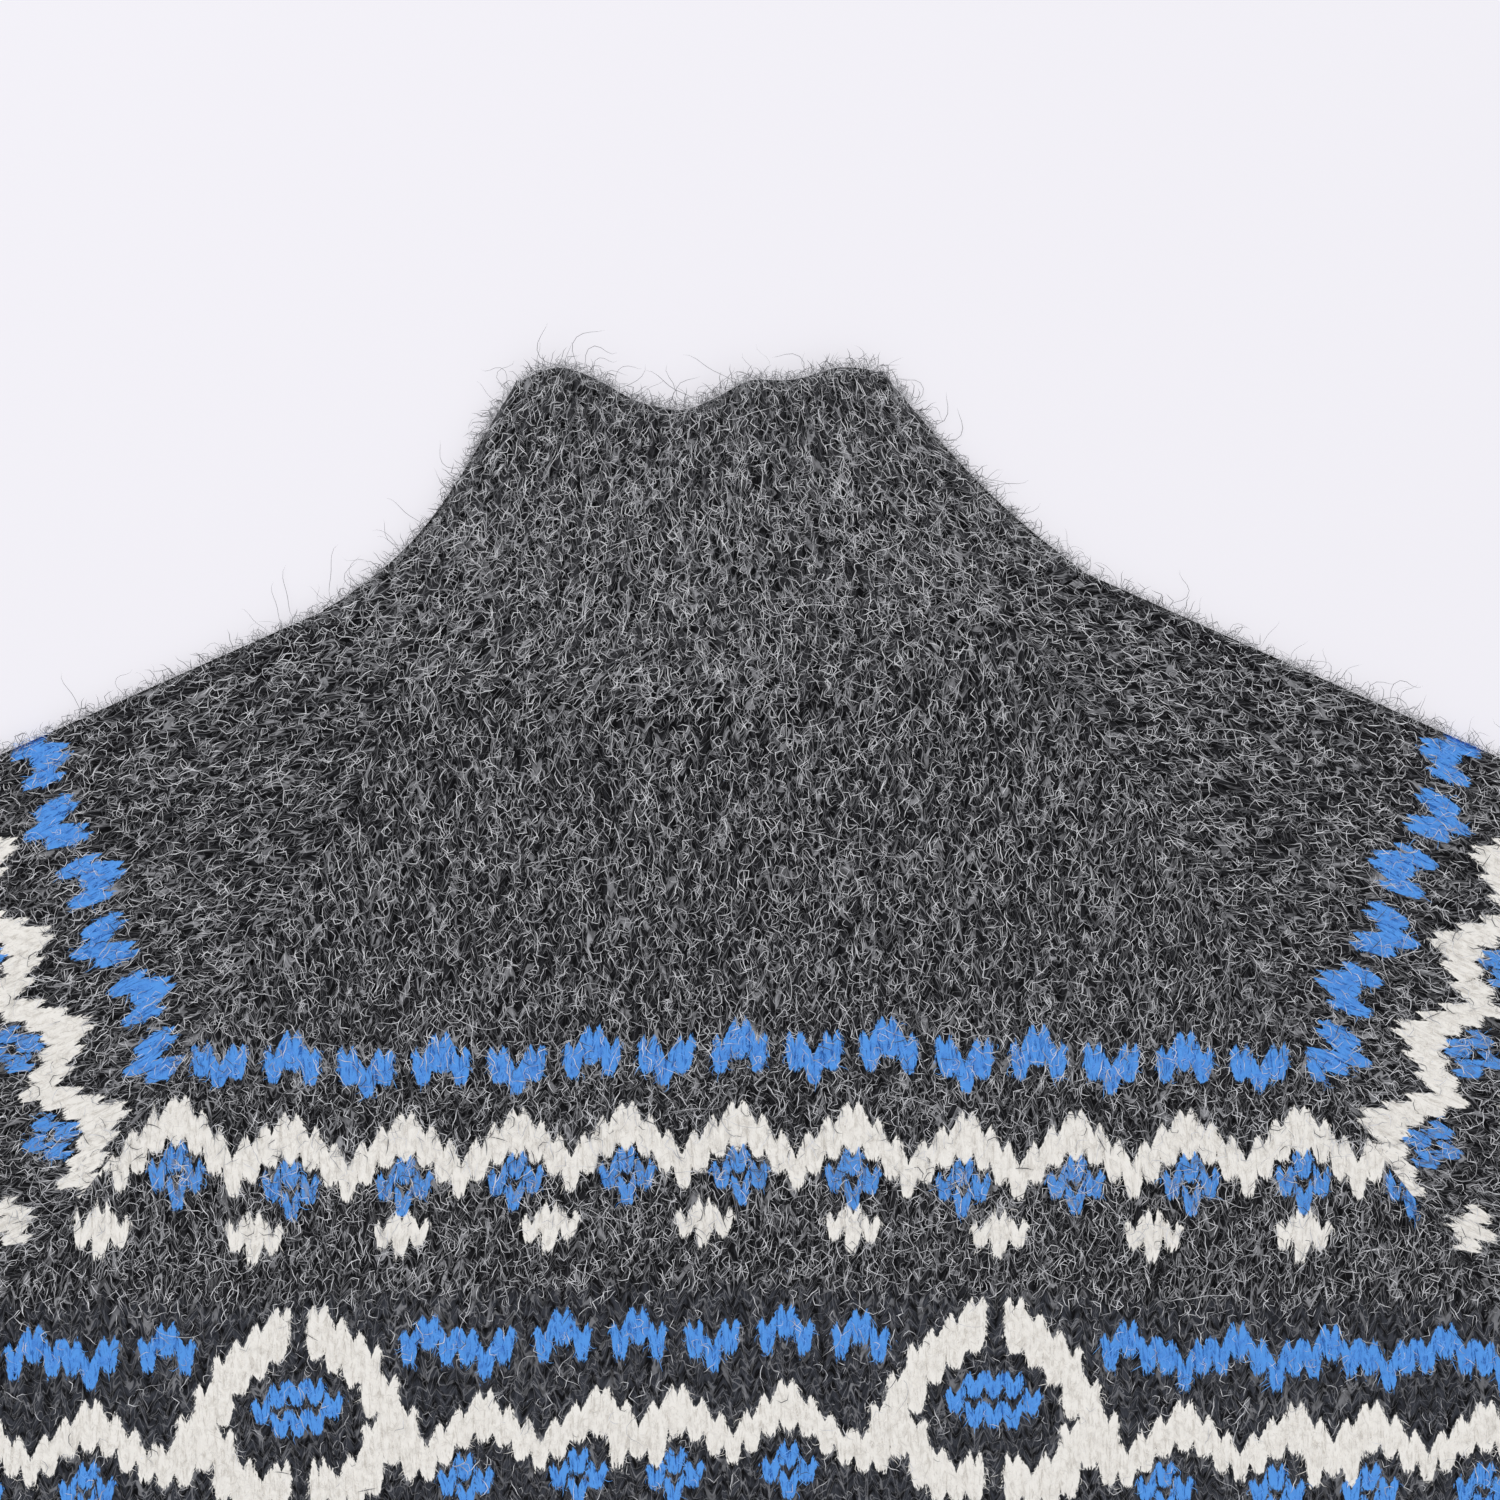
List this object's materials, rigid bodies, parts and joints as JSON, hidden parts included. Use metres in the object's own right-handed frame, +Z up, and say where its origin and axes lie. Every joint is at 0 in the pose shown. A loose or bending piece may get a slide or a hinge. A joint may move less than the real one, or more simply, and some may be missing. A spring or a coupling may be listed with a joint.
{
  "type": "roll-neck pullover",
  "caption": "Raglan wool pullover with a ribbed roll neck, ribbed cuffs and a ribbed hem, laid flat with its front up and its sleeves spread.",
  "frame": {"origin": "on the surface it lies on, under the centre of its bounding box", "axes": "+Z up off the surface, +Y from the hem towards the collar, +X towards the wearer's left cuff"},
  "size_m": [1.4836, 0.7508, 0.01],
  "materials": {
    "patterned_knit": "brushed charcoal wool in stocking stitch, with cream and blue motifs knitted in and a haze of pale hairs",
    "rib_knit": "brushed charcoal wool in soft rib, with a haze of pale hairs"
  },
  "bodies": {
    "root": {"front_panel": "patterned_knit", "back_panel": "patterned_knit", "left_sleeve": "patterned_knit", "right_sleeve": "patterned_knit", "roll_collar": "rib_knit", "hem_rib": "rib_knit", "left_cuff": "rib_knit", "right_cuff": "rib_knit"}
  },
  "joints": []
}
